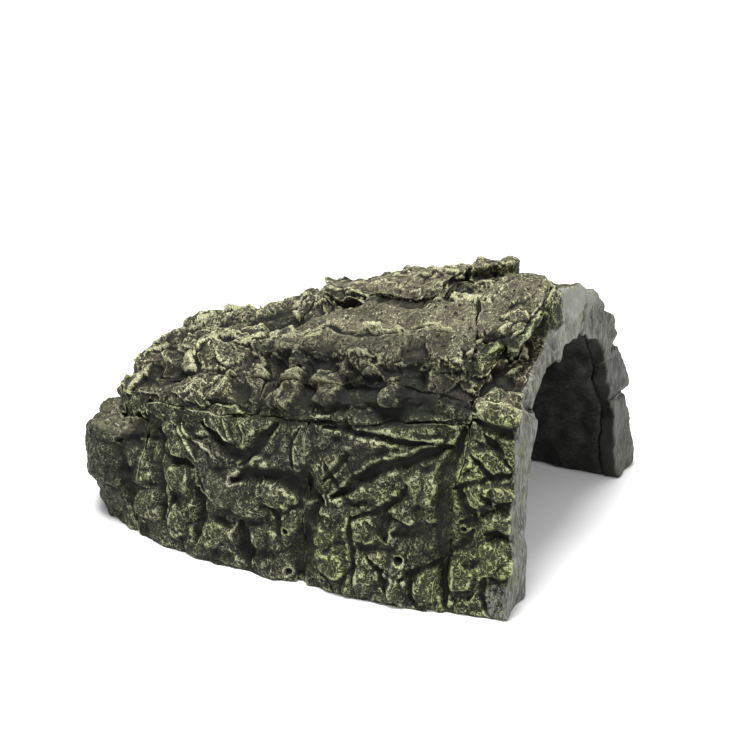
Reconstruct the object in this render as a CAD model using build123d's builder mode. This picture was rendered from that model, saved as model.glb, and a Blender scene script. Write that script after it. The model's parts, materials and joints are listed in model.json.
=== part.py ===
from build123d import *
import os

# Resin cave ornament: a shelter for turtles and fish, cast to look like a vault of laid stones.
# Millimetres, +Z up. The mouth of the cave faces -Y and the origin lies on the base, under the
# middle of the ornament. Every stone is bonded to its neighbours and to the lining behind it.

# ---------------------------------------------------------------- driving dimensions
LENGTH = 204.0  # from the face of the mouth to the back of the corner stones
MOUTH_Y = -LENGTH / 2
ABOVE_ALL = 150.0  # a height clear of the whole ornament
LINING = 4.0  # thickness of the backing laid up inside the stones
LINING_SETBACK = 7.0  # how far the lining starts behind the face of the mouth
JOINT_WIDTH = 2.0  # open joint between two stones, at the surface
JOINT_DEPTH = 2.5  # how deep that joint stays open before the bond
WALL_BULGE = 3.0  # how far the walls swell outwards between foot and eave
ROOF_BULGE = 5.0  # how far the roof rises above the line from eave to ridge

# The rock from front to back:
# distance behind the mouth, left foot x, left eave (x, z), ridge (x, z), right eave (x, z), right foot x
ROCK_STATIONS = (
    (0, -72.5, (-62, 87), (-18, 123), (46, 86), 80.5),
    (34, -78.5, (-68, 90), (-13, 115), (47, 84), 81.0),
    (70, -81.5, (-71, 84), (-7, 107), (49, 79), 81.5),
    (110, -80.5, (-69, 74), (-3, 95), (49, 69), 80.0),
    (152, -75.5, (-63, 66), (-5, 80), (47, 58), 74.0),
    (182, -64.5, (-52, 59), (-7, 67), (41, 50), 63.0),
    (190, -52.0, (-45, 52), (-6, 59), (33, 44), 50.0),
)
# The hollow from front to back, given in the same way
CAVE_STATIONS = (
    (0, -50.5, (-49, 68), (-15, 97), (30, 78), 61.5),
    (40, -58.0, (-55, 66), (-12, 96), (32, 75), 63.5),
    (80, -64.0, (-57, 60), (-8, 88), (35, 69), 65.5),
    (120, -63.0, (-54, 51), (-5, 75), (35, 57), 63.5),
    (156, -56.0, (-46, 42), (-5, 60), (30, 44), 55.5),
    (180, -39.0, (-31, 30), (-5, 42), (20, 31), 38.5),
)
# Low stones that stand out behind the rock: plan outline (x, distance behind the mouth)
PLINTH_OUTLINE = (
    (-66, 166), (-71, 178), (-67, 192), (-56, 201), (-38, 204), (-12, 201),
    (16, 203), (42, 199), (60, 188), (66, 176), (62, 166),
)
# How far the plinth is set in at each height, up to its top before the ledge is cut across it
PLINTH_LEVELS = ((0.0, 6.0), (22.0, 0.0), (55.0, 4.0))
LEDGE = (184, 45.0)  # the ledge on top of the low rear stones: distance behind the mouth, height
LEDGE_FALL = 0.22  # how steeply that ledge drops towards the back

# Slabs lying on the roof: name, thickness, plan outline (x, distance behind the mouth)
ROOF_SLABS = (
    ("lower_slab", 4.0, ((-57, 22), (-60, 56), (-53, 88), (-46, 122), (-31, 108), (-17, 80), (-23, 52), (-31, 34))),
    ("upper_slab", 8.0, ((-24, 50), (-19, 84), (-12, 104), (4, 116), (24, 104), (32, 74), (27, 52), (4, 47))),
    ("lip_slab", 5.0, ((-50, 8), (-45, 28), (-29, 32), (-14, 26), (-10, 12), (-22, 4), (-36, 3))),
    ("summit_stone", 11.0, ((-11, 36), (-7, 45), (4, 46), (11, 38), (7, 29), (-4, 28))),
)

os.makedirs("parts", exist_ok=True)


def along(distance):
    """Y of a point that lies this far behind the mouth."""
    return MOUTH_Y + distance


def arch_points(station, grow):
    """The outline of one station in the XZ plane, made larger all round by grow."""
    _, left_foot, left_eave, ridge, right_eave, right_foot = station
    left_foot = left_foot - grow
    right_foot = right_foot + grow
    left_eave = (left_eave[0] - grow * 0.8, left_eave[1] + grow * 0.6)
    right_eave = (right_eave[0] + grow * 0.7, right_eave[1] + grow * 0.7)
    ridge = (ridge[0], ridge[1] + grow)

    def between(a, b, share, out_x, out_z):
        return (a[0] + (b[0] - a[0]) * share + out_x, a[1] + (b[1] - a[1]) * share + out_z)

    return [
        (left_foot, 0),
        between((left_foot, 0), left_eave, 0.5, -WALL_BULGE * 0.6, 0),
        left_eave,
        between(left_eave, ridge, 0.45, -ROOF_BULGE * 0.4, ROOF_BULGE),
        ridge,
        between(ridge, right_eave, 0.5, ROOF_BULGE * 0.6, ROOF_BULGE * 0.8),
        right_eave,
        between(right_eave, (right_foot, 0), 0.45, WALL_BULGE * 1.4, WALL_BULGE),
        (right_foot, 0),
    ]


def vault(stations, grow=0.0, front_shift=0.0, back_shift=0.0):
    """A solid vault through the stations, faceted like broken stone."""
    shifts = [front_shift] + [0.0] * (len(stations) - 2) + [back_shift]
    with BuildPart() as solid:
        for station, shift in zip(stations, shifts):
            with BuildSketch(Plane.XZ.offset(-along(station[0] + shift))):
                with BuildLine():
                    Polyline(*arch_points(station, grow), close=True)
                make_face()
        loft(ruled=True)
    return solid.part


def plinth_block(inset=0.0):
    """The low block behind the rock, widest part of the way up, made smaller all round by inset."""
    with BuildPart() as solid:
        for height, set_in in PLINTH_LEVELS:
            with BuildSketch(Plane.XY.offset(height)):
                with BuildLine():
                    Polyline(*[(x, along(distance)) for x, distance in PLINTH_OUTLINE], close=True)
                make_face()
                if set_in + inset:
                    offset(amount=-set_in - inset, kind=Kind.INTERSECTION)
        loft(ruled=True)
    return solid.part


def joint(middle, radial, run=(0, 1, 0)):
    """A joint through a point that holds the radial direction and the run direction.

    Its positive side is further round the arch, from the left foot over the crown.
    """
    return Plane(origin=middle, x_dir=run, z_dir=Vector(*run).cross(Vector(*radial)))


def below(plane):
    """The same joint, with its sides swapped."""
    return -plane


# ---------------------------------------------------------------- joints between the stones
LEFT_HALF = Plane(origin=(0, 0, 0), z_dir=(-1, 0, 0))
RIGHT_HALF = Plane(origin=(0, 0, 0), z_dir=(1, 0, 0))

# The ring of stones round the mouth, and the joint behind it
RING_BACK = Plane(origin=(0, along(23), 60), z_dir=(0, 1, 0.12))
PILLAR_TOP = joint((-53, 0, 84.5), (-17, 0, 11))
CROWN_LEFT = joint((-28, 0, 109.5), (-3, 0, 25))
CROWN_RIGHT = joint((6.5, 0, 107), (8, 0, 22))
RIGHT_SHOULDER_FOOT = joint((43.5, 0, 67), (22, 0, 2))
RIGHT_PILLAR_TOP = joint((62.5, 0, 42), (16, 0, -4))
SHOULDER_STEP = Plane(origin=(-30, along(10), 103), z_dir=(0.5, 0.15, -1))

# Wall courses and the springing of the roof
LEFT_COURSE = joint((-73.5, along(40), 76), (-1, 0, 0), (0, 100, -15))
LEFT_SPRING = joint((-58.5, along(36), 81), (-12, 0, 24), (8.5, 124, -19))
RIGHT_SPRING = joint((40.5, along(36), 80), (16, 0, 9), (-4, 124, -28))
RIGHT_COURSE = joint((74.5, along(40), 44), (1, 0, 0), (0, 100, -12))

# Upright joints across the walls and the roof
LEFT_LOWER_SPLIT = Plane(origin=(-70, along(87), 40), z_dir=(0.08, 1, -0.04))
LEFT_UPPER_SPLIT = Plane(origin=(-70, along(112), 70), z_dir=(0.1, 1, -0.15))
RIGHT_LOWER_SPLIT = Plane(origin=(70, along(96), 20), z_dir=(-0.1, 1, 0.1))
RIGHT_UPPER_SPLIT = Plane(origin=(60, along(124), 50), z_dir=(-0.05, 1, -0.12))
ROOF_SPLIT = Plane(origin=(0, along(112), 90), z_dir=(0.12, 1, 0.1))

# The closed rear of the cave
REAR_FRONT = Plane(origin=(0, along(168), 40), z_dir=(0, 1, 0.05))
REAR_LEDGE = Plane(origin=(0, along(LEDGE[0]), LEDGE[1]), z_dir=(0, LEDGE_FALL, 1))
REAR_LEFT_SPLIT = Plane(origin=(-30, along(190), 20), z_dir=(1, 0.1, 0.05))
REAR_RIGHT_SPLIT = Plane(origin=(20, along(190), 20), z_dir=(1, -0.12, -0.06))
REAR_CAP_SPLIT = Plane(origin=(-8, along(180), 55), z_dir=(1, 0.05, 0.1))

# Each stone lies on the positive side of its joints. The cuts bound it and leave no joint.
RING = below(RING_BACK)
LEFT_LOW = below(LEFT_COURSE)
LEFT_HIGH = (LEFT_COURSE, below(LEFT_SPRING))
RIGHT_HIGH = (RIGHT_SPRING, below(RIGHT_COURSE))
ROOF = (LEFT_SPRING, below(RIGHT_SPRING))
REAR = below(REAR_FRONT)
REAR_LOW = (REAR_FRONT, below(REAR_LEDGE))
REAR_HIGH = (REAR_FRONT, REAR_LEDGE)

# name: (joints, cuts)
STONES = {
    "left_pillar_stone": ((RING, below(PILLAR_TOP)), (LEFT_HALF,)),
    "left_shoulder_stone": ((RING, PILLAR_TOP, below(CROWN_LEFT)), (SHOULDER_STEP,)),
    "crown_stone": ((RING, CROWN_LEFT, below(CROWN_RIGHT)), ()),
    "right_shoulder_stone": ((RING, CROWN_RIGHT, below(RIGHT_SHOULDER_FOOT)), ()),
    "right_middle_stone": ((RING, RIGHT_SHOULDER_FOOT, below(RIGHT_PILLAR_TOP)), (RIGHT_HALF,)),
    "right_pillar_stone": ((RING, RIGHT_PILLAR_TOP), (RIGHT_HALF,)),
    "left_lower_front_stone": ((RING_BACK, LEFT_LOW, below(LEFT_LOWER_SPLIT)), (LEFT_HALF, below(LEFT_SPRING))),
    "left_lower_rear_stone": ((REAR, LEFT_LOW, LEFT_LOWER_SPLIT), (LEFT_HALF, below(LEFT_SPRING))),
    "left_upper_front_stone": ((RING_BACK, *LEFT_HIGH, below(LEFT_UPPER_SPLIT)), ()),
    "left_upper_rear_stone": ((REAR, *LEFT_HIGH, LEFT_UPPER_SPLIT), ()),
    "right_lower_front_stone": ((RING_BACK, RIGHT_COURSE, below(RIGHT_LOWER_SPLIT)), (RIGHT_HALF,)),
    "right_lower_rear_stone": ((REAR, RIGHT_COURSE, RIGHT_LOWER_SPLIT), (RIGHT_HALF,)),
    "right_upper_front_stone": ((RING_BACK, *RIGHT_HIGH, below(RIGHT_UPPER_SPLIT)), (RIGHT_HALF,)),
    "right_upper_rear_stone": ((REAR, *RIGHT_HIGH, RIGHT_UPPER_SPLIT), (RIGHT_HALF,)),
    "roof_front_stone": ((RING_BACK, *ROOF, below(ROOF_SPLIT)), ()),
    "roof_rear_stone": ((REAR, *ROOF, ROOF_SPLIT), ()),
    "rear_left_corner_stone": ((*REAR_LOW, below(REAR_LEFT_SPLIT)), ()),
    "rear_middle_stone": ((*REAR_LOW, REAR_LEFT_SPLIT, below(REAR_RIGHT_SPLIT)), ()),
    "rear_right_corner_stone": ((*REAR_LOW, REAR_RIGHT_SPLIT), ()),
    "rear_left_cap_stone": ((*REAR_HIGH, below(REAR_CAP_SPLIT)), ()),
    "rear_right_cap_stone": ((*REAR_HIGH, REAR_CAP_SPLIT), ()),
}

# ---------------------------------------------------------------- bodies the stones are cut from
rock = vault(ROCK_STATIONS)
cave = vault(CAVE_STATIONS)
lining_body = vault(CAVE_STATIONS, LINING, LINING_SETBACK, LINING)

with BuildPart() as plinth:
    add(plinth_block())
    split(bisect_by=REAR_LEDGE, keep=Keep.BOTTOM)

with BuildPart() as masonry:
    add(rock)
    add(plinth.part)
    add(cave, mode=Mode.SUBTRACT)
    add(lining_body, mode=Mode.SUBTRACT)

# What is left when the open depth of every joint is peeled off the outside
with BuildPart() as core:
    add(vault(ROCK_STATIONS, -JOINT_DEPTH, JOINT_DEPTH, -JOINT_DEPTH))
    add(plinth_block(JOINT_DEPTH))

# ---------------------------------------------------------------- the laid stones
for name, (joints, cuts) in STONES.items():
    with BuildPart() as blank:
        add(masonry.part)
        for plane in joints + cuts:
            split(bisect_by=plane, keep=Keep.TOP)

    with BuildPart() as skin:
        add(blank.part)
        add(core.part, mode=Mode.SUBTRACT)

    grooves = []
    for plane in joints:
        with BuildPart() as groove:
            add(skin.part)
            split(bisect_by=plane.offset(JOINT_WIDTH / 2), keep=Keep.BOTTOM)
        grooves.append(groove.part)

    with BuildPart() as laid_stone:
        add(blank.part)
        add(grooves, mode=Mode.SUBTRACT)
    laid_stone.part.label = name
    export_step(laid_stone.part, f"parts/{name}.step")

# ---------------------------------------------------------------- slabs lying on the roof
laid_slabs = []
for name, thickness, outline in ROOF_SLABS:
    with BuildPart() as slab:
        with BuildSketch(Plane.XY):
            with BuildLine():
                Polyline(*[(x, along(distance)) for x, distance in outline], close=True)
            make_face()
        extrude(amount=ABOVE_ALL)
        add(vault(ROCK_STATIONS, thickness), mode=Mode.INTERSECT)
        add(rock, mode=Mode.SUBTRACT)
        add(laid_slabs, mode=Mode.SUBTRACT)
    laid_slabs.append(slab.part)
    slab.part.label = name
    export_step(slab.part, f"parts/{name}.step")

# ---------------------------------------------------------------- the backing inside the vault
with BuildPart() as vault_lining:
    add(lining_body)
    add(cave, mode=Mode.SUBTRACT)
vault_lining.part.label = "vault_lining"
export_step(vault_lining.part, "parts/vault_lining.step")
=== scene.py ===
import json
from itertools import product
from math import cos, radians, sin

import bmesh
import bpy
import numpy as np
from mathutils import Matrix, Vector
from mathutils.bvhtree import BVHTree


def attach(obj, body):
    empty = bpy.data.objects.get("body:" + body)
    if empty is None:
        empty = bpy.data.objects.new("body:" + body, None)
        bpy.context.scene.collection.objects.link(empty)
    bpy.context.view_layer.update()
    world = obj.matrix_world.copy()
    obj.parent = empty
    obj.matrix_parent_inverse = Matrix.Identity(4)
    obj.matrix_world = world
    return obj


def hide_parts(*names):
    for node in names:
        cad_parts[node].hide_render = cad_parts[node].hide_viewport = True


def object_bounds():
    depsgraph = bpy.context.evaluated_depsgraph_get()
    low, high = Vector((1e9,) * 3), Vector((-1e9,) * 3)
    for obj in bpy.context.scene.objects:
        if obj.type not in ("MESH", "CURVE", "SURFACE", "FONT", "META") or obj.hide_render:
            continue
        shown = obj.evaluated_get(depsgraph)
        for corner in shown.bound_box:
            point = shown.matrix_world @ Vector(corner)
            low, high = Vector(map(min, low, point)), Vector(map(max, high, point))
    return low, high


# Resin cave ornament. Every CAD stone is a faceted blank. Here each one is carved: remeshed, its
# joints made wavy, its surface broken into chips, cracks, ribs and pits, then painted.
# All carving is worked out in millimetres, in the shared frame.

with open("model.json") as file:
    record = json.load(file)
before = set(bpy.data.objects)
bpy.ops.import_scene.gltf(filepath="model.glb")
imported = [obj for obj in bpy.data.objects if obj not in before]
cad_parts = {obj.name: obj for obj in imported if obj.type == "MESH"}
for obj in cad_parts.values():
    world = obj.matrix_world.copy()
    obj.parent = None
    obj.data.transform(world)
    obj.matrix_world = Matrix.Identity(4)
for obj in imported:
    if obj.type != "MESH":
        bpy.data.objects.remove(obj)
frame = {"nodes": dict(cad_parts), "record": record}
CAD_LOW, CAD_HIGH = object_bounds()
MM = 1000.0
MOUTH = CAD_LOW.y * MM
REAR = CAD_HIGH.y * MM

# Grid sizes in metres: of a stone's mesh before refine() halves it outside, of the lining's, and of
# the common surface, which is coarse enough to close the joints
VOXEL = 0.00115
LINING_VOXEL = VOXEL * 1.4
SHELL_VOXEL = 0.0028
# In millimetres: where the relief levels off, how deep an open joint is, and the middle of the cave
DEEPEST = 5.0
SEAM_DEPTH = 1.5
CAVE_CENTRE = (-8.0, 0.0, 35.0)

# ------------------------------------------------------------------------------------- noise


GRADIENTS = np.array(
    [v for v in product((-1, 0, 1), repeat=3) if sum(abs(c) for c in v) == 2], float
)


def hashed(cell, seed):
    """One well mixed 32-bit number for each whole-numbered cell."""
    c = cell.astype(np.int64).astype(np.uint32)
    h = c[:, 0] * np.uint32(73856093) ^ c[:, 1] * np.uint32(19349663) ^ c[:, 2] * np.uint32(83492791)
    h = h ^ np.uint32((seed * 2654435761 + 97) & 0xFFFFFFFF)
    h = (h ^ (h >> np.uint32(15))) * np.uint32(2246822519)
    h = (h ^ (h >> np.uint32(13))) * np.uint32(3266489917)
    return h ^ (h >> np.uint32(16))


def noise(p, wave, seed):
    """Smooth gradient noise of the given wavelength, about -1 to 1."""
    q = p / wave + seed * 0.731
    cell = np.floor(q)
    f = q - cell
    u = f * f * f * (f * (f * 6 - 15) + 10)
    total = np.zeros(len(p))
    for corner in product((0, 1), repeat=3):
        offset = np.array(corner, float)
        g = GRADIENTS[hashed(cell + offset, seed) % np.uint32(12)]
        weight = np.prod(np.where(offset > 0, u, 1 - u), axis=1)
        total += weight * ((f - offset) * g).sum(1)
    return total * 1.5


def ridged(p, wave, seed):
    """Sharp crests where the noise changes sign, 0 to 1."""
    return 1 - np.clip(np.abs(noise(p, wave, seed)) * 2.2, 0, 1)


def chips(p, size, seed, tilt, step, edge):
    """Broken facets: each cell is a plane, tilted and raised its own way, and sunk along its border."""
    q = p / size
    cell = np.floor(q)
    near = np.full(len(p), 9.0)
    second = np.full(len(p), 9.0)
    pick = np.zeros(len(p), np.uint32)
    away = np.zeros_like(p)
    for corner in product((-1, 0, 1), repeat=3):
        here = cell + np.array(corner, float)
        h = hashed(here, seed)
        point = np.stack([(h >> np.uint32(s)) % np.uint32(1024) for s in (0, 10, 20)], 1) / 1024.0
        r = q - here - point
        d = np.sqrt((r * r).sum(1))
        closer = d < near
        second = np.where(closer, near, np.minimum(second, d))
        near = np.where(closer, d, near)
        pick = np.where(closer, h, pick)
        away = np.where(closer[:, None], r, away)
    turn = np.stack([(pick >> np.uint32(s)) % np.uint32(256) for s in (3, 11, 19)], 1) / 127.5 - 1
    level = (pick % np.uint32(101)) / 100.0 - 0.5
    border = 1 - np.clip((second - near) / 0.16, 0, 1)
    return (turn * away).sum(1) * tilt * size + level * step - border * border * edge


def blobs(p, wave, seed):
    """Rounded swellings with a sharp crease between each and the next, 0 to 1."""
    return np.clip(np.abs(noise(p, wave, seed)) * 2.0, 0, 1) ** 0.75


def ramp(x, low, high):
    """0 below low, 1 above high, smooth between."""
    t = np.clip((x - low) / (high - low), 0, 1)
    return t * t * (3 - 2 * t)


# ------------------------------------------------------------- the carving, as a sculptor lists it
# On the walls a point is (distance behind the mouth, height); on the roof it is
# (x, distance behind the mouth). Each cut is (half width, depth, points) and a negative depth is
# a raised rib.
LEFT_CUTS = (
    # behind the pillar
    (2.4, 3.0, ((22, 78), (24, 70), (27, 62), (28, 50), (27, 40), (27, 27), (26, 14), (25, 2))),
    # the long sweeping crack and the raised rib above it
    (2.1, 3.6, ((75, 41), (68, 46), (63, 51), (58, 55), (52, 59), (46, 61), (38, 65), (27, 70))),
    (2.0, -1.9, ((83, 73), (70, 75), (60, 75), (50, 74), (39, 73), (30, 72))),
    (1.1, 1.5, ((81, 69), (68, 71), (55, 71), (45, 70), (31, 70))),
    (1.5, -0.9, ((72, 46), (66, 51), (58, 59), (46, 65), (30, 71))),
    # hollows under the boulders of the upper course
    (1.6, 1.8, ((62, 81), (54, 80), (47, 81), (41, 85))),
    (2.2, 2.0, ((33, 90), (26, 89), (18, 86))),
    (3.0, 3.0, ((110, 76), (109, 82), (103, 86), (92, 89), (80, 90), (69, 90), (60, 88))),
    (2.2, 2.4, ((96, 87), (93, 83), (89, 79), (86, 74))),
    (1.8, 1.8, ((76, 87), (70, 84), (71, 79))),
    # diagonal cuts in the lower front stone
    (1.0, 1.4, ((69, 61), (73, 54), (79, 47))),
    (1.2, 1.7, ((65, 35), (55, 39), (49, 44), (45, 48), (43, 53))),
    (1.0, 1.4, ((66, 35), (65, 28), (64, 21), (63, 8))),
    (1.9, 2.6, ((52, 40), (52, 33), (51, 27))),
    (2.8, 2.2, ((47, 31), (38, 34), (31, 38))),
    (1.2, 1.6, ((44, 12), (36, 17), (28, 22))),
    (1.1, 1.4, ((40, 13), (38, 2))),
    (1.0, 1.2, ((78, 56), (76, 50), (71, 44))),
    (1.0, 1.3, ((58, 20), (52, 14), (50, 6))),
    # cuts in the pillar
    (1.7, 2.3, ((18, 82), (10, 80), (0, 78))),
    (1.4, 2.0, ((14, 77), (9, 72), (3, 66))),
    (1.3, 1.7, ((18, 68), (13, 63), (9, 60), (4, 62), (0, 63))),
    (1.2, 1.5, ((24, 54), (18, 57), (10, 60))),
    (1.5, 1.8, ((22, 54), (19, 48), (15, 43))),
    (1.0, 1.4, ((12, 53), (9, 48))),
    (2.0, 1.6, ((20, 40), (13, 41), (8, 46))),
    (1.1, 1.3, ((7, 48), (0, 51))),
    (1.1, 1.5, ((11, 36), (5, 36), (0, 34))),
    (1.5, 1.6, ((16, 37), (20, 30), (24, 26))),
    (1.1, 1.6, ((10, 18), (11, 10), (8, 2))),
    (1.0, 1.2, ((10, 18), (4, 16), (0, 19))),
    # the two leaf shaped chips behind the upright split, with their fine ribs
    (2.2, 3.0, ((138, 57), (130, 53), (122, 50), (115, 50), (110, 55), (107, 60), (102, 66))),
    (0.7, -0.9, ((136, 60), (134, 56), (129, 53))),
    (0.7, -0.9, ((132, 61), (128, 57), (122, 53))),
    (0.7, -0.9, ((126, 62), (123, 57), (120, 52))),
    (0.7, -0.8, ((118, 64), (116, 60), (114, 56))),
    (1.7, 2.0, ((162, 48), (158, 42), (152, 40), (146, 39), (140, 39))),
    (0.8, -1.0, ((152, 55), (147, 51), (142, 46), (139, 42))),
    (0.8, -1.0, ((148, 55), (144, 51), (136, 48), (130, 46))),
    # the arched hollow and the dark column below it
    (2.6, 3.4, ((120, 39), (114, 43), (107, 45), (100, 45), (93, 43), (86, 40), (79, 38))),
    (0.9, 1.3, ((90, 67), (94, 61), (94, 55), (92, 49))),
    (0.9, 1.2, ((118, 45), (111, 52))),
    (3.8, 3.2, ((81, 37), (84, 26), (88, 13), (88, 4))),
    (3.0, 3.2, ((116, 20), (114, 12), (112, 4))),
    (2.2, 2.4, ((138, 30), (136, 20), (137, 8))),
    (2.0, 2.2, ((158, 40), (157, 28), (155, 12))),
    (1.2, 1.5, ((154, 35), (150, 22), (153, 9))),
    (1.1, 1.2, ((137, 37), (134, 28), (137, 18))),
    (1.1, 1.2, ((104, 33), (99, 28), (97, 20))),
    # upper rear stone: wedges and ribs that run up onto the roof
    (1.9, 2.0, ((129, 76), (123, 75), (116, 72))),
    (0.9, -1.2, ((125, 79), (117, 77), (108, 75), (104, 71))),
    (0.9, -1.0, ((122, 81), (113, 78), (104, 75), (99, 71))),
    (0.9, -1.1, ((137, 67), (132, 72), (129, 76))),
    (0.9, -1.1, ((147, 69), (140, 72), (133, 75))),
    (1.6, 1.8, ((168, 66), (160, 69), (154, 70))),
    # between the wall and the rear corner
    (2.6, 2.0, ((172, 46), (170, 38), (173, 28), (173, 18), (171, 6))),
    # beside the shoulder stone
    (1.8, 2.2, ((28, 104), (22, 98), (17, 91))),
    (1.4, 1.8, ((8, 94), (15, 94), (18, 91))),
    (2.4, 2.2, ((54, 101), (44, 102))),
    (1.2, 1.4, ((36, 100), (32, 94), (26, 93))),
)
# Rounded lumps and hollows of the left wall: (distance, height, half length, half height, rise)
LEFT_LUMPS = (
    # boulders in the recess under the eave
    (100, 81, 6.0, 8.0, 3.8),
    (82, 84, 7.0, 8.0, 3.8),
    (54, 87, 5.5, 5.5, 3.6),
    (66, 79, 8.0, 3.5, 1.6),
    (38, 78, 8.0, 4.0, 2.0),
    # front stone of the lower course
    (62, 70, 17.0, 4.0, 0.8),
    (58, 46, 12.0, 4.5, 1.8),
    (75, 37, 7.0, 4.5, 1.6),
    (36, 52, 6.5, 7.0, 2.0),
    (45, 40, 6.0, 3.5, 1.4),
    (59, 30, 5.0, 6.5, 1.7),
    (77, 24, 8.0, 6.0, 1.7),
    (74, 13, 8.5, 5.5, 1.9),
    (57, 15, 6.5, 10.0, 1.5),
    (45, 10, 4.5, 8.5, 1.8),
    (33, 11, 6.0, 9.0, 1.7),
    # pillar
    (20, 16, 6.0, 6.5, 2.0),
    (6, 25, 9.0, 8.0, 2.4),
    (6, 42, 8.0, 5.0, 1.9),
    (5, 54, 6.0, 3.8, 1.5),
    (15, 51, 5.0, 6.0, 1.8),
    (18, 60, 5.0, 4.5, 1.5),
    (10, 67, 9.0, 4.5, 1.8),
    (9, 88, 9.0, 6.0, 1.8),
    # rear stone of the lower course
    (121, 59, 13.0, 6.0, 1.9),
    (150, 47, 9.5, 7.0, 1.8),
    (168, 32, 7.0, 8.0, 2.2),
    (163, 17, 8.0, 7.0, 2.0),
    (146, 32, 6.5, 7.0, 2.0),
    (148, 14, 6.0, 7.0, 1.8),
    (125, 13, 10.0, 6.0, 2.2),
    (116, 30, 9.0, 7.0, 1.8),
    (98, 38, 9.5, 6.5, 2.0),
    (104, 17, 7.0, 6.0, 1.6),
    (93, 28, 4.5, 7.0, 1.5),
    (126, 33, 7.0, 7.0, 1.4),
    (90, 60, 4.5, 9.0, 1.4),
    (110, 49, 6.5, 4.0, 1.3),
    (90, 44, 7.0, 6.0, -2.4),
    (165, 48, 11.0, 6.0, -2.4),
)
# Round pits: (distance, height, radius, depth)
LEFT_PITS = (
    (45, 20, 1.9, 3.0),
    (19, 37, 1.2, 2.0),
    (107, 41, 1.2, 2.0),
    (95, 22, 1.7, 2.4),
    (93, 5, 1.7, 2.4),
    (178, 42, 1.9, 3.2),
    (70, 94, 1.1, 2.0),
    (43, 97, 1.0, 2.0),
    (12, 100, 1.5, 2.6),
)
ROOF_CUTS = (
    # between the shoulder stone and the pillar below it
    (2.0, 3.0, ((-47, 19), (-49, 14), (-51, 9), (-51, 4), (-49, -1))),
    # the deep undercut below the upper slab
    (2.4, 3.4, ((-16, 100), (-18, 90), (-20, 80), (-22, 70), (-24, 60), (-25, 52))),
    # parallel ribs that climb to the hooked lip
    (1.3, -1.7, ((-54, 27), (-48, 20), (-41, 14))),
    (1.3, -1.7, ((-55, 22), (-50, 15), (-43, 8))),
    (1.1, 1.8, ((-56, 25), (-50, 18), (-43, 11))),
    (2.0, -2.2, ((-38, 18), (-34, 13), (-37, 8))),
    # broken edges of the slabs
    (1.2, 1.5, ((-40, 106), (-39, 93), (-47, 76), (-45, 61), (-42, 43))),
    (1.1, 1.4, ((-30, 62), (-24, 50), (-26, 40))),
    (1.0, 1.3, ((-16, 60), (-6, 52), (4, 48))),
    (1.0, 1.2, ((-8, 96), (0, 84), (2, 70))),
)

# On the face of the mouth a point is (x, height)
FACE_CUTS = (
    (1.3, 1.8, ((5, 112), (6, 104), (0, 97))),
    (0.9, 1.2, ((11, 112), (13, 103), (9, 95))),
    (0.9, 1.0, ((-14, 118), (-12, 108), (-16, 100))),
    (2.0, 2.0, ((-33, 116), (-27, 108), (-24, 98))),
    (2.0, 2.2, ((-56, 88), (-51, 86), (-46, 82))),
    (1.0, 1.0, ((48, 64), (43, 62), (38, 63))),
    (1.0, 1.0, ((68, 40), (62, 40), (56, 42))),
)


def along_path(u, v, path):
    """Distance from each point (u, v) to the path, and how far along it that is, 0 to 1."""
    pts = np.array(path, float)
    lengths = np.hypot(*(pts[1:] - pts[:-1]).T)
    total, done = lengths.sum(), 0.0
    best, where = np.full(len(u), 1e9), np.zeros(len(u))
    for a, b, length in zip(pts[:-1], pts[1:], lengths):
        t = np.clip(((u - a[0]) * (b[0] - a[0]) + (v - a[1]) * (b[1] - a[1])) / length**2, 0, 1)
        d = np.hypot(u - a[0] - t * (b[0] - a[0]), v - a[1] - t * (b[1] - a[1]))
        where = np.where(d < best, (done + t * length) / total, where)
        best = np.minimum(d, best)
        done += length
    return best, where


def cut_depths(u, v, cuts):
    """Height given by a list of cuts and ribs to the points (u, v)."""
    height = np.zeros(len(u))
    for half, depth, path in cuts:
        pts = np.array(path, float)
        reach = half * 5.0
        near = (
            (u > pts[:, 0].min() - reach)
            & (u < pts[:, 0].max() + reach)
            & (v > pts[:, 1].min() - reach)
            & (v < pts[:, 1].max() + reach)
        )
        if not near.any():
            continue
        d, where = along_path(u[near], v[near], path)
        end = np.minimum(where, 1 - where)
        width = half * (0.4 + 0.7 * ramp(end, 0.0, 0.22))
        body = 1 - ramp(d, width * 0.25, width * 1.55)
        valley = np.exp(-((d / (width * 2.8)) ** 2)) if depth > 0 else 0.0
        rim = np.exp(-(((d - width * 1.9) / (width * 0.5)) ** 2))
        height[near] -= depth * (0.95 * body + 0.5 * valley)
        height[near] += abs(depth) * (0.08 if depth > 0 else -0.15) * rim
    return height


def lumps_and_pits(u, v, lumps, pits, uneven=0.0):
    """Height given by a list of lumps and a list of pits to the points (u, v)."""
    height = np.zeros(len(u))
    for cu, cv, ru, rv, rise in lumps:
        r = (np.abs((u - cu) / ru) ** 2.6 + np.abs((v - cv) / rv) ** 2.6) ** (1 / 2.6) + uneven
        height += rise * (0.9 * (1 - ramp(r, 0.62, 1.12)) + 0.4 * np.exp(-r * r * 1.4))
        height -= 0.18 * abs(rise) * np.exp(-(((r - 1.22) / 0.2) ** 2))
    for cu, cv, radius, depth in pits:
        r = np.hypot(u - cu, v - cv) / radius
        height -= depth * (1 - ramp(r, 0.55, 1.0))
        height += 0.12 * np.exp(-(((r - 1.3) / 0.25) ** 2))
    return height


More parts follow.
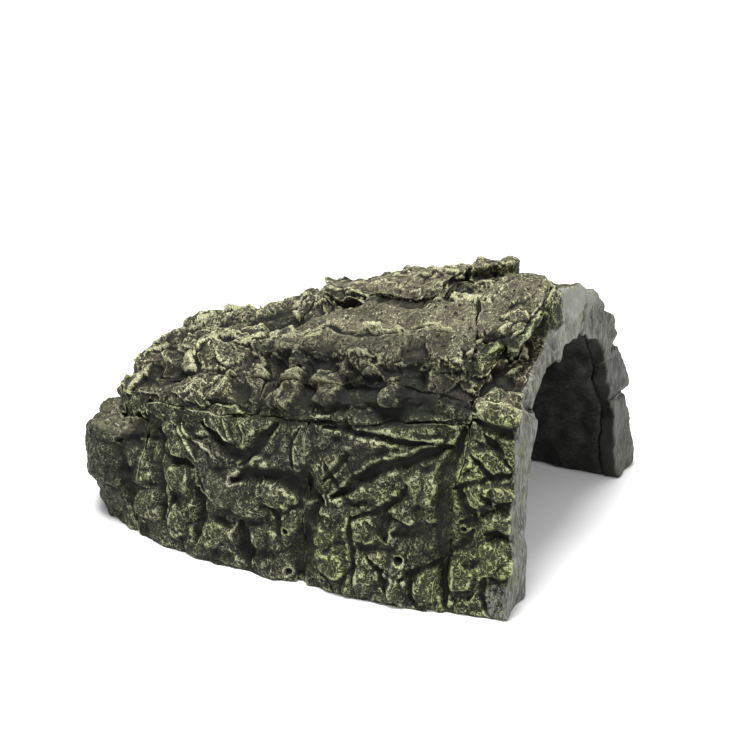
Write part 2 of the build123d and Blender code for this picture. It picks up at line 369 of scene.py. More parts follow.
def random_cuts(seed, count, u_range, v_range, slant):
    """Cuts and ribs of the same kind for the sides that the listed ones don't cover."""
    rng = np.random.default_rng(seed)
    cuts = []
    for _ in range(count):
        u, v = rng.uniform(*u_range), rng.uniform(*v_range)
        angle = slant + rng.normal(0, 0.75)
        length, bend = rng.uniform(8, 30), rng.normal(0, 0.25)
        path = [(u, v)]
        for _ in range(3):
            u, v = u + cos(angle) * length / 3, v + sin(angle) * length / 3
            angle += bend
            path.append((u, v))
        half = rng.uniform(0.8, 2.3)
        cuts.append((half, half * (1.2 if rng.random() < 0.8 else -0.7), path))
    return cuts


def random_marks(seed, count, *ranges):
    """A list of lumps or pits, each with one number drawn from each range."""
    rng = np.random.default_rng(seed)
    return [tuple(rng.uniform(*span) for span in ranges) for _ in range(count)]


def random_lumps(seed, count, u_range, v_range):
    return random_marks(seed, count, u_range, v_range, (5, 12), (5, 11), (0.8, 2.4))


def random_pits(seed, count, u_range, v_range):
    return random_marks(seed, count, u_range, v_range, (0.7, 1.6), (1.2, 2.6))


LENGTH = REAR - MOUTH
RIGHT_CUTS = random_cuts(11, 46, (4, LENGTH - 6), (2, 92), 2.2)
RIGHT_LUMPS = random_lumps(12, 34, (4, LENGTH - 6), (6, 80))
RIGHT_PITS = random_pits(13, 14, (4, LENGTH - 6), (4, 80))
REAR_CUTS = random_cuts(21, 34, (-70, 70), (2, 70), 1.2)
REAR_LUMPS = random_lumps(22, 14, (-66, 66), (4, 64))
REAR_PITS = random_pits(23, 9, (-66, 66), (4, 64))
TOP_CUTS = random_cuts(31, 26, (-58, 46), (96, LENGTH - 12), 0.6)
TOP_PITS = random_pits(33, 26, (-60, 46), (10, LENGTH - 12))

# What each stone's surface is like: how craggy it is, how smooth its top is, how tan its top is
# painted, and for the slabs how ragged its outline is
CRAGGY = {
    "roof_front_stone": 1.0,
    "roof_rear_stone": 1.0,
    "summit_stone": 0.2,
    "rear_left_cap_stone": 0.8,
    "rear_right_cap_stone": 0.8,
    "upper_slab": 0.7,
    "lower_slab": 0.4,
    "lip_slab": 0.45,
    "left_upper_front_stone": 0.3,
    "left_upper_rear_stone": 0.4,
    "right_upper_front_stone": 0.5,
    "right_upper_rear_stone": 0.5,
}
SMOOTH_TOP = {"lower_slab": 0.8, "upper_slab": 0.2, "lip_slab": 0.7, "crown_stone": 0.3}
TAN = {
    "lower_slab": 0.9,
    "upper_slab": 1.0,
    "lip_slab": 0.8,
    "summit_stone": 0.5,
    "roof_front_stone": 0.4,
    "rear_left_corner_stone": 0.7,
    "rear_right_corner_stone": 0.7,
}
RAGGED = {"lower_slab": 1.0, "upper_slab": 1.0, "lip_slab": 0.55, "summit_stone": 0.25}


def terraces(value):
    """Turns a smooth value into level shelves with a short cliff between each and the next."""
    level = np.floor(value)
    return level + ramp(value - level, 0.36, 0.53)


class Skin:
    """The skin of one stone: its points, what each of them faces, and the noise that frays its marks.

    Each method gives the heights of one kind of carving, in millimetres."""

    def __init__(self, p, n, name):
        self.name, self.p = name, p
        self.x, y, self.z = p.T
        self.s = y - MOUTH
        self.left = ramp(-n[:, 0], 0.12, 0.5) * (self.x < 0)
        self.right = ramp(n[:, 0], 0.12, 0.5) * (self.x > 0)
        self.rear = ramp(n[:, 1], 0.35, 0.75) * (self.s > 120)
        self.roof = ramp(n[:, 2], 0.45, 0.8)
        self.front = ramp(-n[:, 1], 0.55, 0.85)
        self.crag = CRAGGY.get(name, 0.0)
        self.calm = SMOOTH_TOP.get(name, 0.0) * ramp(n[:, 2], 0.70, 0.85)
        self.jitter = np.stack([noise(p, 7, seed) for seed in (41, 42, 43)], 1)
        self.ragged = np.stack([noise(p, 2.6, seed) for seed in (44, 45, 46)], 1)

    def walls(self):
        """Swellings drawn out along the climb towards the mouth, and a few flat chips."""
        p, left, y = self.p, self.left, self.p[:, 1]
        slanted = np.stack([self.x, (self.z - y) * 0.52, (self.z + y) * 0.80], 1)
        slanted = slanted + self.jitter * 1.8 + self.ragged * 0.25
        large, medium = blobs(slanted, 15, 2), blobs(slanted + 40, 7.5, 13)
        bulges = 2.6 * (large - 0.6) + (0.7 - 0.2 * left) * (medium - 0.6) * (0.35 + large)
        height = 1.2 * noise(p, 26, 1) + bulges * (1 - 0.6 * np.maximum(self.roof, self.crag))
        height *= 1 - 0.35 * left
        broken = chips(p + self.jitter * 1.5 + self.ragged * 0.4 + 90, 12.0, 6, 0.40, 1.6, 0.3)
        flakes = chips(p + self.jitter * 1.3 + self.ragged * 0.4 + 50, 6.5, 4, 0.30, 0.6, 0.2)
        return height + (1 - left) * (1 - self.roof) * 0.5 * broken + (0.45 - 0.2 * left) * flakes

    def shelves(self):
        """The roof's ragged shelves and broken facets."""
        if not self.crag:
            return 0.0
        p, z = self.p, self.z
        q = p + self.jitter * 1.6 + self.ragged * 0.45
        torn = (q + self.ragged * 0.7) * np.array([1, 0.7, 1])
        dip = 0.06 * z
        shelf = terraces(noise(torn, 30, 9) * 1.3 + noise(torn, 13, 10) * 0.35 + dip) - dip
        facets = chips(q * np.array([1, 0.75, 1.2]), 12.0, 7, 0.42, 1.8, 0.25)
        step = 1.4 if "rear" in self.name else 2.2
        height = (step * shelf + facets + 0.25 * (blobs(q, 7.0, 8) - 0.5) - 0.8) * (1 - 0.8 * self.calm)
        torn_edge = (1 - self.roof) * (0.3 + 0.9 * self.left * ramp(z, 80, 88))
        return self.crag * (height + torn_edge * (0.8 * noise(p, 3.6, 26) + 0.5 * noise(p, 1.9, 27)))

    def outlines(self):
        """The ragged sides of the slabs, and the eave that overhangs the wall."""
        p, s, name = self.p, self.s, self.name
        height = np.zeros(len(p))
        if name in RAGGED:
            torn = 2.6 * noise(p, 17, 21) + 1.7 * noise(p, 7.5, 22) + 1.4 * noise(p, 3.4, 23) - 0.6
            height += (1 - self.roof) * RAGGED[name] * torn
        if name == "upper_slab":
            height -= self.roof * 4.5 * ramp(s, 66, 100)
        if name.startswith("roof_"):
            eave = 1.2 + 1.6 * noise(p, 9, 24) + 1.3 * noise(p, 4, 25)
            height += self.left * eave * ramp(s, 24, 40) * (1 - ramp(s, 116, 130))
        if name == "left_upper_front_stone":
            height -= self.left * 2.8 * ramp(self.z, 75, 79) * ramp(s, 28, 38)
        return height

    def marks(self):
        """The cuts, ribs, lumps and pits, both the listed ones and the random ones."""
        fray = self.jitter * 0.5 + self.ragged * 0.25
        s, z, x = self.s + fray[:, 0], self.z + fray[:, 1], self.x + fray[:, 2]
        uneven = 0.22 * noise(self.p, 9, 54) + 0.16 * noise(self.p, 4.5, 55)
        height = self.left * cut_depths(s, z, LEFT_CUTS)
        height += self.left * lumps_and_pits(s, z, LEFT_LUMPS, (), uneven)
        height += self.left * lumps_and_pits(s, z, (), LEFT_PITS)
        height += self.right * cut_depths(s, z, RIGHT_CUTS)
        height += self.right * lumps_and_pits(s, z, RIGHT_LUMPS, RIGHT_PITS, uneven)
        height += self.rear * cut_depths(x, z, REAR_CUTS)
        height += self.rear * lumps_and_pits(x, z, REAR_LUMPS, REAR_PITS, uneven)
        top = cut_depths(x, s, TOP_CUTS) + lumps_and_pits(x, s, (), TOP_PITS)
        return height + self.roof * (1 - self.rear) * (cut_depths(x, s, ROOF_CUTS) + (1 - self.calm) * top)

    def crust(self):
        """A fine crust and pinholes."""
        p = self.p
        veins = ridged(p + self.ragged * 0.5, 2.3, 5)
        patchy = ramp(noise(p, 13, 11), -0.35, 0.35)
        height = (0.08 + 0.14 * patchy) * veins * (1 - 0.4 * self.calm) + 0.07 * noise(p, 1.3, 6)
        return height - 1.1 * ramp(noise(p, 2.1, 12), 0.62, 0.78) * (0.35 + 0.65 * self.crag)

    def face(self):
        """The face of the mouth: soft dents, flat upright layers and the listed cuts."""
        p, jitter = self.p, self.jitter
        height = 0.9 * noise(p, 19, 61) + 0.5 * noise(p, 6, 62) + 0.08 * noise(p, 1.5, 63)
        layers = ridged(p * np.array([1, 1, 0.3]) + jitter * 0.5, 7, 64) - 0.4
        height += (0.25 + 0.75 * ramp(self.z, 85, 98)) * 0.9 * layers
        return height + cut_depths(self.x + jitter[:, 0] * 0.6, self.z + jitter[:, 1] * 0.6, FACE_CUTS)


def relief(p, n, name):
    """How far each point of a stone's skin stands out along its normal, in millimetres."""
    skin = Skin(p, n, name)
    height = (skin.walls() + skin.shelves()) * (1 - 0.8 * skin.calm)
    height += skin.outlines() + skin.marks() + skin.crust()
    # the ring is calmer than the rock behind it
    height *= 1 - 0.75 * (1 - ramp(skin.s, 6, 20)) * (1 - skin.left)
    return DEEPEST * np.tanh((height * (1 - skin.front) + skin.face() * skin.front) / DEEPEST)


def warp(p):
    """A gentle waviness shared by every stone, so that the joints stay closed but aren't straight."""
    shift = np.stack([noise(p, 23, 71 + k) * 1.9 + noise(p, 8, 81 + k) * 0.9 for k in range(3)], 1)
    shift[:, 2] *= ramp(p[:, 2], 0.5, 9.0)
    return p + shift


# ------------------------------------------------------------------------------------- meshes


def coordinates(mesh):
    """A mesh's points, in millimetres."""
    flat = np.empty(len(mesh.vertices) * 3)
    mesh.vertices.foreach_get("co", flat)
    return flat.reshape(-1, 3) * MM


def edge_pairs(mesh):
    """The two ends of each edge."""
    flat = np.empty(len(mesh.edges) * 2, int)
    mesh.edges.foreach_get("vertices", flat)
    return flat.reshape(-1, 2)


def spread(values, pairs, rounds, share=0.5):
    """Values smoothed over the edges of a mesh."""
    n = len(values)
    count = np.bincount(pairs.ravel(), minlength=n)[:, None]
    a, b = pairs.T
    for _ in range(rounds):
        sums = [np.bincount(a, column[b], n) + np.bincount(b, column[a], n) for column in values.T]
        around = np.stack(sums, 1)
        values = values * (1 - share) + around / np.maximum(count, 1) * share
    return values


def point_normals(mesh):
    """The way each point of a mesh faces."""
    flat = np.empty(len(mesh.vertices) * 3)
    mesh.vertex_normals.foreach_get("vector", flat)
    return flat.reshape(-1, 3)


def unit(v):
    return v / np.maximum(np.linalg.norm(v, axis=1), 1e-9)[:, None]


def remeshed(source, voxel):
    """A closed, even mesh of a CAD node's shape."""
    trial = bpy.data.objects.new("trial", source.data.copy())
    bpy.context.scene.collection.objects.link(trial)
    modifier = trial.modifiers.new("voxels", "REMESH")
    modifier.mode = "VOXEL"
    modifier.voxel_size = voxel
    bpy.context.view_layer.update()
    mesh = bpy.data.meshes.new_from_object(trial.evaluated_get(bpy.context.evaluated_depsgraph_get()))
    bpy.data.objects.remove(trial)
    return mesh


def soup(names):
    """The faces of several CAD nodes as one search tree."""
    corners, faces, start = [], [], 0
    for name in names:
        mesh = frame["nodes"][name].data
        corners.append(coordinates(mesh))
        faces.extend([tuple(v + start for v in f.vertices) for f in mesh.polygons])
        start += len(mesh.vertices)
    return BVHTree.FromPolygons([Vector(c) for c in np.concatenate(corners)], faces)


def nearest(tree, points, limit=30.0):
    """Distance from each point to a search tree, with the place and the face found."""
    found = [tree.find_nearest(Vector(c), limit) for c in points]
    distance = np.array([limit if hit[3] is None else hit[3] for hit in found])
    place = np.array([tuple(hit[0] or c) for hit, c in zip(found, points)])
    face = np.array([hit[2] or 0 for hit in found])
    return distance, place, face


class Rock:
    """The outer surface of all the stones together, coarse enough that the joints close over."""

    def __init__(self):
        together = bmesh.new()
        for name, node in frame["nodes"].items():
            if name != "vault_lining":
                together.from_mesh(node.data)
        mesh = bpy.data.meshes.new("together")
        together.to_mesh(mesh)
        together.free()
        holder = bpy.data.objects.new("together", mesh)
        shell = remeshed(holder, SHELL_VOXEL)
        bpy.data.objects.remove(holder)
        pairs = edge_pairs(shell)
        self.points = spread(coordinates(shell), pairs, 2)
        self.normals = unit(spread(point_normals(shell), pairs, 3))
        self.faces = np.array([tuple(f.vertices)[:4] for f in shell.polygons if len(f.vertices) == 4])
        self.tree = BVHTree.FromPolygons([Vector(c) for c in self.points], self.faces.tolist())

    def below(self, p):
        """Depth of each point below the surface, the place above it, and the normal there."""
        distance, place, face = nearest(self.tree, p)
        corners = self.faces[face]
        gap = ((self.points[corners] - place[:, None]) ** 2).sum(2)
        weight = 1 / (gap + 0.4)
        normal = unit((self.normals[corners] * weight[..., None]).sum(1))
        side = ((place - p) * normal).sum(1)
        return np.where(side < 0, 0.0, distance), place, normal


def close_joints(p, pairs, others, rock):
    """Lifts the grooves beside the joints back up to the rock's surface, as the skin of one casting."""
    for _ in range(3):
        close = nearest(others, p, 3.2)[0] < 3.1
        index = np.nonzero(close)[0]
        depth, place, _ = rock.below(p[index])
        lift = (depth > 0.05) & (depth < 3.3)
        p[index[lift]] = place[lift]
        relaxed = spread(p, pairs, 2)
        p[index[lift]] = relaxed[index[lift]]
    return p


def refine(mesh, seen):
    """Halves the edges of the faces that can be seen."""
    p = coordinates(mesh)
    bm = bmesh.new()
    bm.from_mesh(mesh)
    bm.verts.ensure_lookup_table()
    low = p[:, 2] < 0.35
    edges = {
        e
        for f in bm.faces
        if any(seen[v.index] for v in f.verts) and not all(low[v.index] for v in f.verts)
        for e in f.edges
    }
    bmesh.ops.subdivide_edges(bm, edges=list(edges), cuts=1, use_grid_fill=True)
    bm.to_mesh(mesh)
    bm.free()
    return mesh


def attribute(mesh, name, values):
    """Writes one number for each point of the mesh, for its material to read."""
    data = mesh.attributes.new(name, "FLOAT", "POINT").data
    data.foreach_set("value", np.ascontiguousarray(values, np.float32))


def finished(mesh, p, name):
    """The carved mesh as a smooth shaded object of the scene."""
    p[:, 2] = np.maximum(p[:, 2], 0.0)
    mesh.vertices.foreach_set("co", (p / MM).ravel())
    mesh.update()
    mesh.polygons.foreach_set("use_smooth", np.ones(len(mesh.polygons), bool))
    piece = bpy.data.objects.new(name, mesh)
    bpy.context.scene.collection.objects.link(piece)
    return piece


def open_seams(p, n, away):
    """How open the joint beside each point is, 0 to 1. It is dark along the left wall's courses, and
    mostly healed over on the roof and on the left flank."""
    z, s = p[:, 2], p[:, 1] - MOUTH
    healed = ramp(-n[:, 0], 0.2, 0.6) + ramp(n[:, 2], 0.4, 0.8)
    course = ramp(-n[:, 0], 0.2, 0.5) * ramp(z, 62, 68) * (1 - ramp(z, 84, 90)) * ramp(s, 24, 34)
    shown = np.clip(0.7 - 0.7 * healed + 0.9 * course + 0.4 * noise(p, 20, 31), 0.0, 1)
    return (1 - ramp(away, 0.9, 2.0 + 0.8 * course)) * shown


def mouth_guides(name, p, n, inward):
    """Where a stone shows plain grey resin, and where it turns dark inside the mouth, 0 to 1."""
    x, z, s = p[:, 0], p[:, 2], p[:, 1] - MOUTH
    front = ramp(-n[:, 1], 0.5, 0.75) * (1 - ramp(s, 3, 5))
    ring = slots[name] == "ring_stone"
    mossy_corner = ramp(-x, 13, 24) * ramp(z, 101, 109)
    foot = 0.5 * (1 - ramp(s, 8, 12)) * (1 - ramp(z, 13, 17)) * (name == "left_pillar_stone")
    face = np.maximum(np.clip(front + inward, 0, 1) * ring * (1 - 0.75 * mossy_corner), foot)
    return face, np.clip(inward - front, 0, 1) * ramp(x, -30, -10)


def shade_guide(name, p, n):
    """Where painted shade lies under the eave and on a few steep flanks, 0 to 1."""
    z, s = p[:, 2], p[:, 1] - MOUTH
    shade = ramp(-n[:, 0], 0.3, 0.6) * ramp(z, 70, 78) * (1 - ramp(z, 92, 100))
    brink = ramp(-p[:, 0], 43, 50) * ramp(z, 88, 94) * 0.75
    shade = np.maximum(shade, brink) * ramp(s, 28, 40) * (1 - ramp(s, 118, 140))
    if name in ("crown_stone", "lip_slab"):
        shade = np.maximum(shade, 0.9 * ramp(-n[:, 0], 0.45, 0.8))
    if name == "rear_left_corner_stone":
        shade = np.maximum(shade, 0.5 * ramp(-n[:, 0], 0.3, 0.7))
    return shade


def colour_guides(mesh, name, p, n):
    """Writes where the rock is tan, painted as roof, or mossy."""
    z, s = p[:, 2], p[:, 1] - MOUTH
    tan = TAN.get(name, 0.15) * ramp(n[:, 2], 0.60, 0.84)
    attribute(mesh, "tan", tan * np.clip(0.75 + 0.6 * noise(p, 16, 102), 0, 1))
    attribute(mesh, "roof", ramp(n[:, 2], 0.25, 0.75) * ramp(z, 40, 75))
    moss = 0.30 + 0.45 * noise(p, 26, 101) + 0.45 * (1 - ramp(s, 10, 90)) - 0.15 * ramp(z, 55, 90)
    attribute(mesh, "moss", np.clip(moss, 0, 1))


def blank(name, rock, lining, others):
    """An even mesh of one stone, with its joints closed and its outside made finer."""
    mesh = remeshed(frame["nodes"][name], VOXEL)
    p = close_joints(coordinates(mesh), edge_pairs(mesh), others, rock)
    mesh.vertices.foreach_set("co", (p / MM).ravel())
    return refine(mesh, (rock.below(p)[0] < 1.0) & (nearest(lining, p, 1.0)[0] > 0.6))


def carve(name, rock, lining):
    """The carved form of one stone, with what the paint needs to know at each point."""
    others = soup([other for other in frame["nodes"] if other not in (name, "vault_lining")])
    mesh = blank(name, rock, lining, others)
    pairs = edge_pairs(mesh)
    p = spread(coordinates(mesh), pairs, 3)
    away = nearest(others, p, 8.0)[0]
    depth, surface, n = rock.below(p)
    p = np.where(((depth < 1.1) & (away < 3.0))[:, None], surface, p)
    n = unit(spread(n, pairs, 3))

    # what may be carved: the outer skin, less and less towards the floor and the lining
    skin = (1 - ramp(depth, 0.8, 2.2)) * ramp(nearest(lining, p, 8.0)[0], 0.3, 2.0)
    grip = 0.25 + 0.75 * ramp(p[:, 2], 0.0, 2.5)
    towards_cave = ((np.array(CAVE_CENTRE) - p) * n * np.array([1, 0, 1])).sum(1)
    inward = ramp(towards_cave, -2, 6) * (p[:, 1] - MOUTH < 12)
    seam = open_seams(p, n, away)
    base = warp(p)
    height = relief(base, n, name) - SEAM_DEPTH * seam
    height = height * (1 - inward) + inward * 0.5 * noise(p, 9, 91)
    carved = base + n * (height * skin * grip)[:, None]
    foot = p[:, 2] < 0.6
    carved[foot, 2] = np.minimum(carved[foot, 2], p[foot, 2])
    piece = finished(mesh, carved, name + "_carved")

    normal = point_normals(mesh)
    attribute(mesh, "fine", ((spread(carved, pairs, 4) - carved) * normal).sum(1))
    attribute(mesh, "wide", ((spread(carved, pairs, 30) - carved) * normal).sum(1))
    # the upper slab is thinned as a whole, which isn't a hollow to be given painted shade
    attribute(mesh, "relief", np.maximum(height, -0.5) if name == "upper_slab" else height)
    attribute(mesh, "seam", np.maximum(seam * skin, ramp(depth, 1.0, 3.0)))
    face, inside = mouth_guides(name, p, n, inward)
    attribute(mesh, "face", face)
    attribute(mesh, "inside", inside)
    attribute(mesh, "shade", shade_guide(name, p, n))
    colour_guides(mesh, name, p, n)
    return piece


def weave(name):
    """The lining, pressed with a coarse weave inside."""
    stones = soup([other for other in frame["nodes"] if other != name])
    mesh = remeshed(frame["nodes"][name], LINING_VOXEL)
    mesh = refine(mesh, nearest(stones, coordinates(mesh), 1.0)[0] > 0.6)
    pairs = edge_pairs(mesh)
    p = spread(coordinates(mesh), pairs, 6)
    n = unit(spread(point_normals(mesh), pairs, 6))
    girth = np.arctan2(p[:, 0] - CAVE_CENTRE[0], p[:, 2] - 30) * 58
    cloth = 0.22 * np.sin(girth * 2.3) * np.sin(p[:, 1] * 2.3)
    ledge = 1.2 * np.exp(-(((p[:, 2] - 47 - 2 * noise(p, 30, 113)) / 2.2) ** 2))
    height = cloth + ledge + 0.8 * noise(p, 20, 111) + 0.5 * noise(p, 8, 112)
    free = ramp(nearest(stones, p, 3.0)[0], 0.4, 2.0) * ramp(p[:, 2], 0, 2.5)
    return finished(mesh, warp(p) + n * (height * free)[:, None], name + "_woven")


# ------------------------------------------------------------------------------------- paint


class Nodes:
    """A short way to write a material's node tree."""

    def __init__(self, name):
        self.material = bpy.data.materials.new(name)
        self.material.use_nodes = True
        self.tree = self.material.node_tree
        self.tree.nodes.clear()
        self.out = self.tree.nodes.new("ShaderNodeOutputMaterial")
        self.shader = self.tree.nodes.new("ShaderNodeBsdfPrincipled")
        self.tree.links.new(self.shader.outputs[0], self.out.inputs[0])

    def put(self, kind, inputs=(), **settings):
        node = self.tree.nodes.new(kind)
        for key, value in settings.items():
            setattr(node, key, value)
        for key, value in dict(inputs).items():
            if isinstance(value, bpy.types.NodeSocket):
                self.tree.links.new(value, node.inputs[key])
            else:
                node.inputs[key].default_value = value
        return node

    def math(self, operation, a, b=0.0, c=0.0):
        return self.put("ShaderNodeMath", {0: a, 1: b, 2: c}, operation=operation).outputs[0]

    def times(self, a, b):
        return self.math("MULTIPLY", a, b)

    def read(self, name):
        return self.put("ShaderNodeAttribute", attribute_name=name).outputs["Fac"]

    def range(self, value, low, high, to_low=0.0, to_high=1.0):
        sockets = {0: value, 1: low, 2: high, 3: to_low, 4: to_high}
        return self.put("ShaderNodeMapRange", sockets, interpolation_type="SMOOTHSTEP").outputs[0]

    def mix(self, share, a, b):
        return self.put("ShaderNodeMix", {0: share, 6: a, 7: b}, data_type="RGBA").outputs[2]

    def noise(self, vector, scale, detail=3.0, rough=0.55):
        return self.put(
            "ShaderNodeTexNoise", {"Vector": vector, "Scale": scale, "Detail": detail, "Roughness": rough}
        ).outputs[0]

    def scaled(self, vector, factor):
        return self.put("ShaderNodeVectorMath", {0: vector, 1: factor}, operation="MULTIPLY").outputs[0]


def thread_web(t, mm, speckle):
    """Fine wandering lines, drawn where a noise crosses its middle value."""
    bend = t.put("ShaderNodeTexNoise", {"Vector": mm, "Scale": 0.5, "Detail": 2.0}).outputs[1]
    sway = {0: bend, 1: (1.8, 1.8, 1.8), 2: mm}
    bent = t.put("ShaderNodeVectorMath", sway, operation="MULTIPLY_ADD").outputs[0]

    def threads(scale, half, detail):
        wander = t.noise(bent, scale, detail, 0.5)
        return t.range(t.math("ABSOLUTE", t.math("SUBTRACT", wander, 0.5)), half * 0.25, half, 1.0, 0.0)

    broken = t.range(t.noise(mm, 0.33, 3.0), 0.40, 0.60)
    web = t.math("MAXIMUM", threads(0.30, 0.013, 2.0), t.times(threads(0.62, 0.022, 1.0), broken))
    return t.times(web, t.range(speckle, 0.28, 0.50, 0.45, 1.0))


def grey_resin(t, mm, patches, mottle, speckle, hollow, seam):
    """Plain grey resin, brushed up and down, with painted light towards the crown and painted shade on the
    right and in the crevices.
    """
    streaks = t.noise(t.scaled(mm, (1.1, 1.1, 0.16)), 1.0, 4.0, 0.6)
    grey = t.mix(t.range(streaks, 0.38, 0.64), (0.055, 0.056, 0.049, 1), (0.23, 0.23, 0.205, 1))
    grey = t.mix(t.range(speckle, 0.54, 0.72, 0.0, 0.55), grey, (0.34, 0.345, 0.30, 1))
    grey = t.mix(t.range(patches, 0.50, 0.64, 0.0, 0.45), grey, (0.115, 0.130, 0.062, 1))
    grey = t.mix(t.range(mottle, 0.45, 0.75, 0.0, 0.5), grey, (0.065, 0.065, 0.059, 1))
    # painted shade in the crevices of the face
    grey = t.mix(t.times(hollow, 0.5), grey, (0.03, 0.03, 0.03, 1))
    grey = t.mix(t.times(seam, 0.7), grey, (0.02, 0.02, 0.02, 1))
    x, _, z = t.put("ShaderNodeSeparateXYZ", {0: mm}).outputs
    # painted light: paler towards the crown
    grey = t.mix(t.range(z, 92.0, 112.0, 0.0, 0.5), grey, (0.34, 0.345, 0.29, 1))
    # painted shade: darker on the right of the mouth
    return t.mix(t.range(x, 15.0, 45.0, 0.0, 0.55), grey, (0.045, 0.046, 0.042, 1))


def rock_paint():
    """Dark base coat, a dark wash and painted shade in the hollows, painted shade under the eave, painted
    light on raised relief and pale dry brushing on every crest.
    """
    t = Nodes("rock_paint")
    place = t.put("ShaderNodeTexCoord").outputs["Object"]
    mm = t.scaled(place, (MM, MM, MM))
    fine, wide, seam = t.read("fine"), t.read("wide"), t.read("seam")
    roof, moss, face, tan = t.read("roof"), t.read("moss"), t.read("face"), t.read("tan")
    inside, shade, carved = t.read("inside"), t.read("shade"), t.read("relief")

    patches = t.noise(mm, 0.085, 4.0)
    mottle = t.noise(mm, 0.5, 4.0, 0.6)
    speckle = t.noise(mm, 2.1, 3.0, 0.65)
    web = thread_web(t, mm, speckle)
    crest = t.range(t.math("MULTIPLY_ADD", roof, -0.025, fine), -0.08, -0.24)
    hollow = t.range(fine, 0.015, 0.12)
    deep = t.math("MAXIMUM", t.range(wide, 0.04, 0.65), seam)
    proud = t.range(wide, 0.1, -0.7)

    # base coats
    wall = t.mix(t.range(patches, 0.38, 0.62), (0.007, 0.0075, 0.006, 1), (0.024, 0.025, 0.016, 1))
    wall = t.mix(t.times(moss, t.range(mottle, 0.38, 0.62, 0.25, 1.0)), wall, (0.024, 0.028, 0.011, 1))
    # painted light: the base coat is paler where the relief stands out
    wall = t.mix(t.range(carved, 0.3, 3.5, 0.0, 0.5), wall, (0.042, 0.047, 0.020, 1))
    brown = t.mix(t.range(mottle, 0.35, 0.65), (0.070, 0.061, 0.042, 1), (0.165, 0.155, 0.100, 1))
    rust = t.times(roof, t.range(t.noise(mm, 0.13, 3.0), 0.50, 0.66, 0.0, 0.7))
    base = t.mix(rust, t.mix(tan, wall, brown), (0.060, 0.042, 0.030, 1))
    base = t.mix(t.range(speckle, 0.30, 0.60, 0.6, 0.0), base, (0.010, 0.011, 0.008, 1))

    # dry brushing: the web of threads, and the crests of the carving
    pale = t.mix(moss, (0.42, 0.43, 0.28, 1), (0.39, 0.43, 0.18, 1))
    pale = t.mix(roof, pale, (0.50, 0.50, 0.30, 1))
    # painted light: the dry brushing is made stronger on raised relief and weaker on low relief
    lit = t.range(carved, -2.6, 2.0, 0.55, 1.25)
    strength = t.times(t.times(t.range(wide, 0.8, 0.0), lit), t.range(patches, 0.34, 0.60, 0.35, 1.0))
    lines = t.times(web, t.math("ADD", strength, t.times(proud, 0.3)))
    lines = t.times(lines, t.math("MAXIMUM", t.range(moss, 0.1, 0.9, 0.55, 1.2), roof))
    edges = t.times(roof, t.range(wide, -0.20, -1.0, 0.0, 0.35))
    rubbed = t.times(t.math("MAXIMUM", crest, edges), t.range(speckle, 0.40, 0.60, 0.10, 0.95))
    both = {0: t.times(rubbed, lit), 1: lines}
    brushed = t.put("ShaderNodeMath", both, operation="ADD", use_clamp=True).outputs[0]
    coat = t.mix(brushed, base, pale)

    # washes and painted shade
    # dark wash in the fine crevices, deepened as painted shade
    coat = t.mix(t.times(hollow, 0.8), coat, (0.008, 0.009, 0.007, 1))
    # painted shade in the wide hollows, and dark open joints
    coat = t.mix(t.times(deep, 0.88), coat, (0.006, 0.007, 0.006, 1))
    # painted shade where the relief is low
    coat = t.mix(t.range(carved, -0.4, -3.2, 0.0, 0.65), coat, (0.007, 0.008, 0.006, 1))
    # painted shade under the eave and on a few steep left flanks, broken up by the mottle
    shade = t.times(shade, t.range(mottle, 0.38, 0.62, 0.85, 0.45))
    coat = t.mix(shade, coat, (0.010, 0.011, 0.009, 1))

    # the face of the mouth and the inside behind it
    grey = grey_resin(t, mm, patches, mottle, speckle, hollow, seam)
    edge = t.math("ADD", face, t.times(t.math("SUBTRACT", mottle, 0.5), 0.8))
    coat = t.mix(t.range(edge, 0.42, 0.58), coat, grey)
    coat = t.mix(inside, coat, (0.020, 0.021, 0.018, 1))
    t.tree.links.new(coat, t.shader.inputs["Base Color"])
    t.shader.inputs["Roughness"].default_value = 0.6
    t.shader.inputs["Specular IOR Level"].default_value = 0.12

    grit = t.times(t.math("ADD", t.math("ADD", speckle, mottle), lines), 0.8)
    bump = t.put("ShaderNodeBump", {"Height": grit, "Strength": 0.6, "Distance": 0.0006})
    t.tree.links.new(bump.outputs[0], t.shader.inputs["Normal"])
    return t.material


def lining_paint():
    """Dark backing that shows the weave it was laid up on."""
    t = Nodes("lining_paint")
    place = t.put("ShaderNodeTexCoord").outputs["Object"]
    mm = t.scaled(place, (MM, MM, MM))
    blotch = t.noise(mm, 0.11, 4.0)
    thread = t.noise(t.scaled(mm, (1.0, 0.45, 1.0)), 0.9, 3.0)
    coat = t.mix(t.range(blotch, 0.35, 0.7), (0.016, 0.0165, 0.015, 1), (0.042, 0.043, 0.038, 1))
    coat = t.mix(t.range(thread, 0.4, 0.7, 0.6, 0.0), coat, (0.008, 0.008, 0.008, 1))
    t.tree.links.new(coat, t.shader.inputs["Base Color"])
    t.shader.inputs["Roughness"].default_value = 0.7
    t.shader.inputs["Specular IOR Level"].default_value = 0.15
    bump = t.put("ShaderNodeBump", {"Height": thread, "Strength": 0.5, "Distance": 0.0006})
    t.tree.links.new(bump.outputs[0], t.shader.inputs["Normal"])
    return t.material


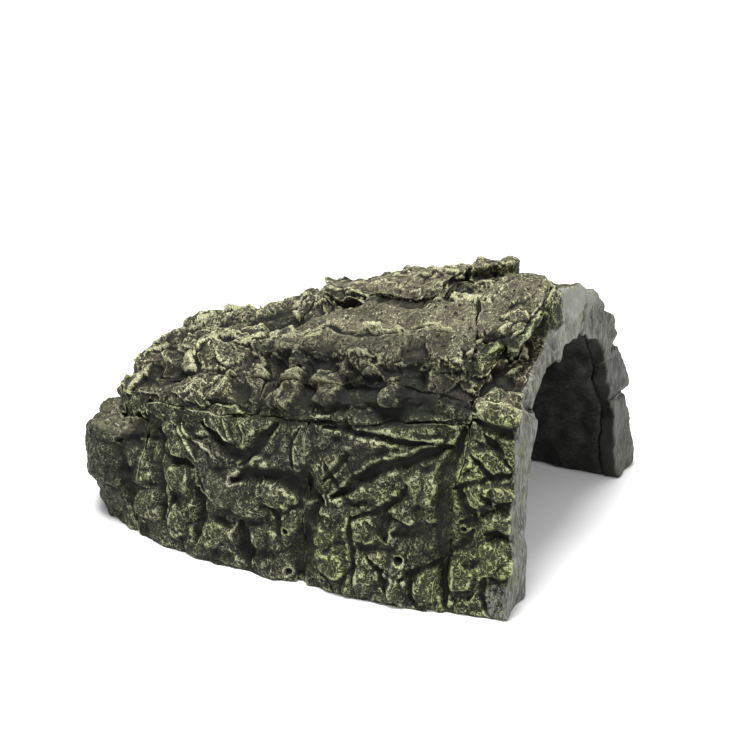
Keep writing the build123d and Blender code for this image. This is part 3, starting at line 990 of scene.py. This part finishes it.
rock_material = rock_paint()
lining_material = lining_paint()
rock = Rock()
lining = soup(["vault_lining"])
slots = {entry["node"]: entry["material_slot"] for entry in frame["record"]["subparts"]}
for node in sorted(frame["nodes"]):
    woven = node == "vault_lining"
    piece = weave(node) if woven else carve(node, rock, lining)
    piece.data.materials.clear()
    piece.data.materials.append(lining_material if woven else rock_material)
    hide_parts(node)
    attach(piece, "root")

# ------------------------------------------------------------------------------------- stage

ground = bpy.data.meshes.new("ground")
ground.from_pydata([(-6, -6, 0), (6, -6, 0), (6, 6, 0), (-6, 6, 0)], [], [(0, 1, 2, 3)])
floor = bpy.data.objects.new("ground", ground)
bpy.context.scene.collection.objects.link(floor)
paper = bpy.data.materials.new("paper")
paper.use_nodes = True
paper.node_tree.nodes["Principled BSDF"].inputs["Base Color"].default_value = (0.93, 0.93, 0.93, 1)
paper.node_tree.nodes["Principled BSDF"].inputs["Roughness"].default_value = 0.9
ground.materials.append(paper)


def lamp(name, place, size, power):
    """A round soft light that points at the middle of the ornament."""
    light = bpy.data.lights.new(name, "AREA")
    light.shape, light.size, light.energy = "DISK", size, power
    holder = bpy.data.objects.new(name, light)
    holder.location = place
    aim = Vector((0, 0, 0.05)) - Vector(place)
    holder.rotation_euler = aim.to_track_quat("-Z", "Y").to_euler()
    bpy.context.scene.collection.objects.link(holder)


lamp("top", (-0.3, 0.05, 1.5), size=0.7, power=38)
lamp("front", (-0.7, -1.1, 1.1), size=0.9, power=7)

world = bpy.data.worlds.new("studio")
world.use_nodes = True
world.node_tree.nodes["Background"].inputs["Color"].default_value = (1, 1, 1, 1)
world.node_tree.nodes["Background"].inputs["Strength"].default_value = 0.6
bpy.context.scene.world = world
bpy.context.scene.view_settings.view_transform = "Standard"

# The photograph's viewing angle: over the left wall, with the mouth at the right
AZIMUTH, ELEVATION, DISTANCE = radians(-65.56), radians(25), 1.0
target = Vector((-0.0015, -0.01233, 0.0605))
back = Vector((sin(AZIMUTH) * cos(ELEVATION), -cos(AZIMUTH) * cos(ELEVATION), sin(ELEVATION)))
camera = bpy.data.cameras.new("camera")
camera.lens = 113.21
camera.sensor_width = 36
eye = bpy.data.objects.new("camera", camera)
eye.location = target + back * DISTANCE
eye.rotation_euler = back.to_track_quat("Z", "Y").to_euler()
bpy.context.scene.collection.objects.link(eye)
bpy.context.scene.camera = eye
